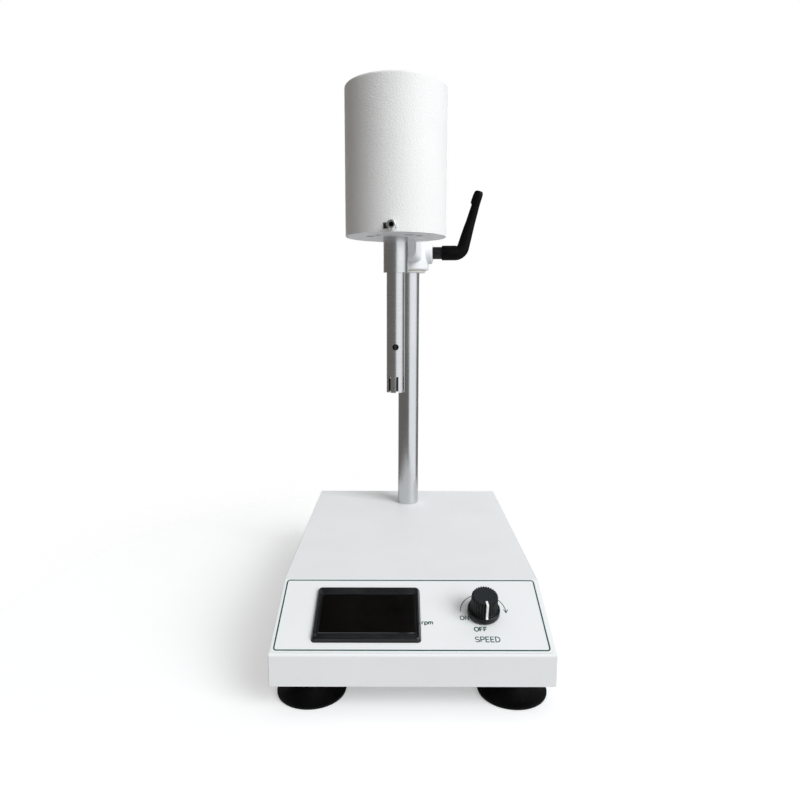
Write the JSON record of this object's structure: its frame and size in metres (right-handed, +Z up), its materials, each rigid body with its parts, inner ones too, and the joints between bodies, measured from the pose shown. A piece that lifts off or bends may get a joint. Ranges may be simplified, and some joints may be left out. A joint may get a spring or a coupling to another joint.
{
  "type": "laboratory homogenizer",
  "caption": "Bench homogenizer: sloped control base, round column and a sliding, swinging motor head that drives a slotted rotor and stator dispersing tool.",
  "frame": {"origin": "middle of the outline in plan, on the bench under the feet", "axes": "+X to the operator's right, +Y to the back, +Z up along the column"},
  "size_m": [0.2, 0.313, 0.4685],
  "materials": {
    "white_coat": "white powder coat, slightly glossy",
    "foot_rubber": "matt black rubber",
    "column_steel": "polished",
    "tool_steel": "polished stainless steel",
    "screw_steel": "bright zinc",
    "plain_steel": "machined",
    "bezel_plastic": "glossy black",
    "window_plastic": "glossy dark window",
    "knob_plastic": "black, fine sheen",
    "pointer_white": "white paint",
    "lever_plastic": "black",
    "black_plastic": "black moulding",
    "board_laminate": "circuit board",
    "brass": "machined",
    "sink_aluminium": "extruded",
    "copper": "enamelled copper",
    "bush_plastic": "bearing plastic",
    "black_oxide": "blackened steel"
  },
  "bodies": {
    "base": {"base_cover": "white_coat", "base_pan": "white_coat", "cover_screws": "screw_steel", "suction_feet": "foot_rubber", "foot_studs": "screw_steel", "foot_nuts": "screw_steel", "column": "column_steel", "column_seat": "plain_steel", "column_bolt": "screw_steel", "display_bezel": "bezel_plastic", "display_window": "window_plastic", "display_board": "board_laminate", "digit_blocks": "black_plastic", "pot_body": "plain_steel", "pot_nut": "screw_steel", "control_board": "board_laminate", "board_standoffs": "brass", "board_parts": "black_plastic", "heat_sink": "sink_aluminium", "mains_inlet": "black_plastic", "inlet_pins": "screw_steel", "fuse_holder": "black_plastic", "fuse_cap": "black_plastic", "lead_socket": "plain_steel"},
    "knob": {"speed_knob": "knob_plastic", "knob_pointer": "pointer_white", "pot_shaft": "screw_steel"},
    "bushes": {"guide_bushes": "bush_plastic"},
    "head": {"support_arm": "white_coat", "clamp_pad": "brass", "motor_housing": "white_coat", "housing_screws": "screw_steel", "tool_lock_screw": "screw_steel", "head_socket": "plain_steel", "motor_stator": "plain_steel", "field_coils": "copper", "upper_bracket": "plain_steel", "motor_bearings": "plain_steel", "motor_bolts": "screw_steel", "brush_holders": "black_plastic", "carbon_brushes": "black_plastic", "tool_collar": "tool_steel", "tool_bushes": "bush_plastic", "stator_tube": "tool_steel"},
    "lever_stud": {"lever_stud": "black_oxide", "lever_screw": "screw_steel", "lever_spring": "screw_steel"},
    "lever": {"lever_handle": "lever_plastic"},
    "spindle": {"motor_shaft": "plain_steel", "armature": "copper", "commutator": "copper", "cooling_fan": "black_plastic", "drive_coupling": "plain_steel", "tool_shaft": "tool_steel", "rotor_head": "tool_steel"}
  },
  "joints": [
    {"name": "head_height", "type": "slide", "parent": "base", "child": "bushes", "axis": [0, 0, 1], "range_m": [-0.13, 0.11]},
    {"name": "head_swing", "type": "hinge", "parent": "bushes", "child": "head", "pos_m": [0, 0.1135, 0.336], "axis": [0, 0, 1], "range_deg": [-83.5, 96.5]},
    {"name": "lever_turn", "type": "hinge", "parent": "head", "child": "lever_stud", "pos_m": [0, 0.1135, 0.336], "axis": [0.9936, -0.1132, 0], "range_deg": [0, 180]},
    {"name": "lever_lift", "type": "slide", "parent": "lever_stud", "child": "lever", "axis": [0.9936, -0.1132, 0], "range_m": [0, 0.005], "stiffness_N_per_m": 400, "springref_m": -0.002, "deforming": ["lever_spring"]},
    {"name": "knob_turn", "type": "hinge", "parent": "base", "child": "knob", "pos_m": [0.0528, -0.12134, 0.05652], "axis": [0, -0.3473, 0.9377], "range_deg": [-280, 0]},
    {"name": "rotor_spin", "type": "hinge", "parent": "head", "child": "spindle", "pos_m": [-0.01324, -0.00275, 0.34], "axis": [0, 0, 1], "continuous": true}
  ]
}
